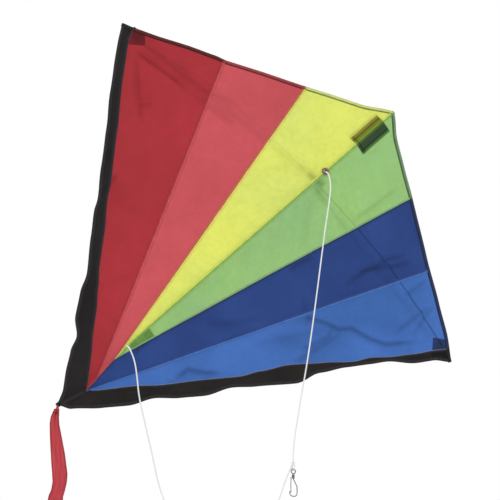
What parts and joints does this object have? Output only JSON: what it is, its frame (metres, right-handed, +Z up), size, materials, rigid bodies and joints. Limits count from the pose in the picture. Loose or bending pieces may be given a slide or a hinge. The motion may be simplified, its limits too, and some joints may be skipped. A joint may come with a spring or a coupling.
{
  "type": "diamond kite",
  "caption": "Diamond kite with a fan of coloured gores, black trailing borders, spine and cross spars, bridle with wire clip, and a ribbon tail.",
  "frame": {"origin": "on the spine axis where the cross spar crosses it, the place where the kite is held", "axes": "+Z up, -Y out of the front of the sail, where the bridle hangs; the nose points up and to +X, the tail down and to -X"},
  "size_m": [0.5125, 0.0825, 0.6384],
  "materials": {
    "rod": "satin fibreglass",
    "vinyl": "soft matt vinyl",
    "cloth_yellow": "taffeta",
    "cloth_green": "taffeta",
    "cloth_dark_blue": "taffeta",
    "cloth_light_blue": "taffeta",
    "cloth_light_red": "taffeta",
    "cloth_dark_red": "taffeta",
    "cloth_black": "taffeta",
    "hem_left_cloth": "folded taffeta",
    "hem_right_cloth": "folded taffeta",
    "tape_black": "woven tape",
    "tail_cloth": "ribbon taffeta",
    "cord_white": "braided cord",
    "eyelet_metal": "dark plated",
    "steel_wire": "drawn wire"
  },
  "bodies": {
    "frame": {"spine_rod": "rod", "nose_cap": "vinyl", "tail_cap": "vinyl", "spine_stops": "vinyl", "centre_seam": "cloth_green", "nose_sleeve": "tape_black", "tail_sleeve": "tape_black", "eyelet": "eyelet_metal", "eyelet_washer": "eyelet_metal", "bridle_tie_upper": "cord_white", "bridle_tie_lower": "cord_white", "bridle_upper_leg": "cord_white", "bridle_lower_leg": "cord_white", "tow_knot": "cord_white", "tow_loop": "cord_white", "tail_loop": "tail_cloth"},
    "left_wing": {"panel_yellow": "cloth_yellow", "panel_light_red": "cloth_light_red", "panel_dark_red": "cloth_dark_red", "border_left": "cloth_black", "hem_left": "hem_left_cloth", "nose_tape_left": "tape_black", "cross_spar_left": "rod", "tip_cap_left": "vinyl", "tip_pocket_left": "tape_black", "spar_fitting_left": "vinyl"},
    "right_wing": {"panel_green": "cloth_green", "panel_dark_blue": "cloth_dark_blue", "panel_light_blue": "cloth_light_blue", "border_right": "cloth_black", "hem_right": "hem_right_cloth", "nose_tape_right": "tape_black", "cross_spar_right": "rod", "tip_cap_right": "vinyl", "tip_pocket_right": "tape_black", "spar_fitting_right": "vinyl", "tie_patch": "cloth_green"},
    "clip": {"clip_frame": "steel_wire", "clip_collar": "steel_wire"},
    "gate": {"clip_gate": "steel_wire"},
    "tail": {"tail_gather": "tail_cloth", "tail_ribbon": "tail_cloth", "tail_hank": "tail_cloth", "hank_tie": "tail_cloth"}
  },
  "joints": [
    {"name": "left_wing_fold", "type": "hinge", "parent": "frame", "child": "left_wing", "pos_m": [0, 0, 0], "axis": [0.7193, 0, 0.6947], "range_deg": [-60, 13.5]},
    {"name": "right_wing_fold", "type": "hinge", "parent": "frame", "child": "right_wing", "pos_m": [0, 0, 0], "axis": [0.7193, 0, 0.6947], "range_deg": [-13.5, 60]},
    {"name": "clip_swing", "type": "hinge", "parent": "frame", "child": "clip", "pos_m": [-0.031, -0.009, -0.3416], "axis": [1, 0, 0], "range_deg": [-30, 30]},
    {"name": "gate_open", "type": "hinge", "parent": "clip", "child": "gate", "pos_m": [-0.03375, -0.009, -0.34885], "axis": [0, -1, 0], "range_deg": [0, 16], "stiffness_Nm_per_rad": 0.002},
    {"name": "tail_swing", "type": "hinge", "parent": "frame", "child": "tail", "pos_m": [-0.29809, -0.004, -0.29607], "axis": [0, 1, 0], "range_deg": [-35, 35]}
  ]
}
